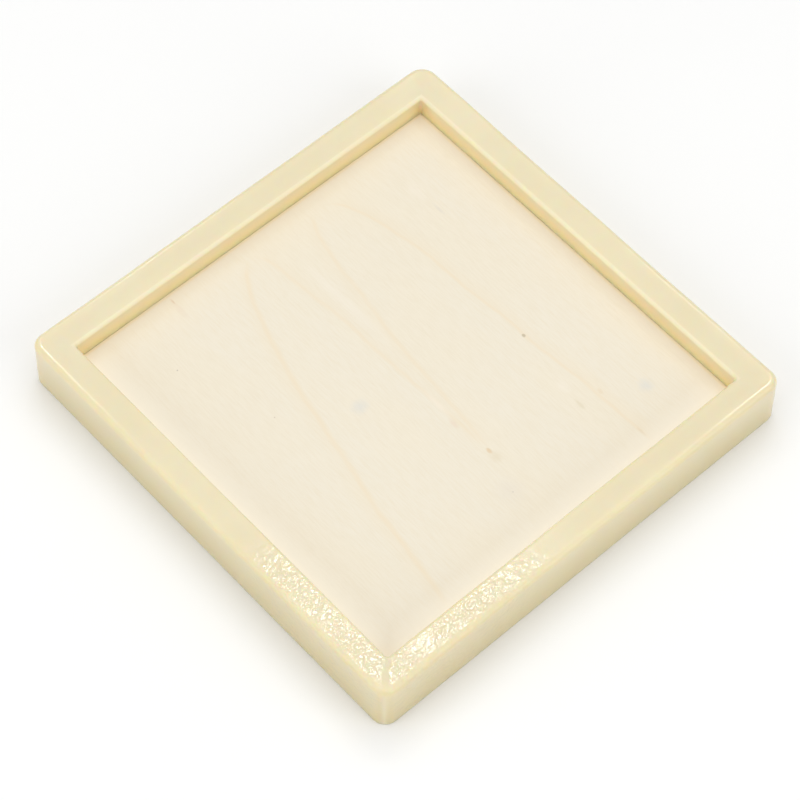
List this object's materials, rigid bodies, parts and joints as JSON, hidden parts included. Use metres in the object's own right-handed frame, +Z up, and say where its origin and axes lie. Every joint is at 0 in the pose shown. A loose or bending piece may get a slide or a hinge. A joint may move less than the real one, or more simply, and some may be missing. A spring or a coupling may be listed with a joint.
{
  "type": "shallow square tray",
  "caption": "Shallow square open tray: a moulded ivory rim with rounded corners bonded around a recessed flat plywood panel.",
  "frame": {"origin": "middle of the face that the tray stands on", "axes": "+Z up through the middle of the panel; X and Y along the sides, the face veneer's grain along Y"},
  "size_m": [0.15, 0.15, 0.0176],
  "materials": {
    "rim_resin": "glossy, slightly translucent, faint orange peel",
    "face_wood": "sanded, unfinished, pale rotary-cut veneer",
    "crossband_wood": "raw inner ply",
    "core_wood": "raw inner ply",
    "back_wood": "sanded, unfinished back veneer",
    "dried_adhesive": "dried clear amber adhesive"
  },
  "bodies": {
    "root": {"rim": "rim_resin", "face_veneer": "face_wood", "upper_crossband": "crossband_wood", "core_veneer": "core_wood", "lower_crossband": "crossband_wood", "back_veneer": "back_wood", "adhesive_bead": "dried_adhesive"}
  },
  "joints": []
}
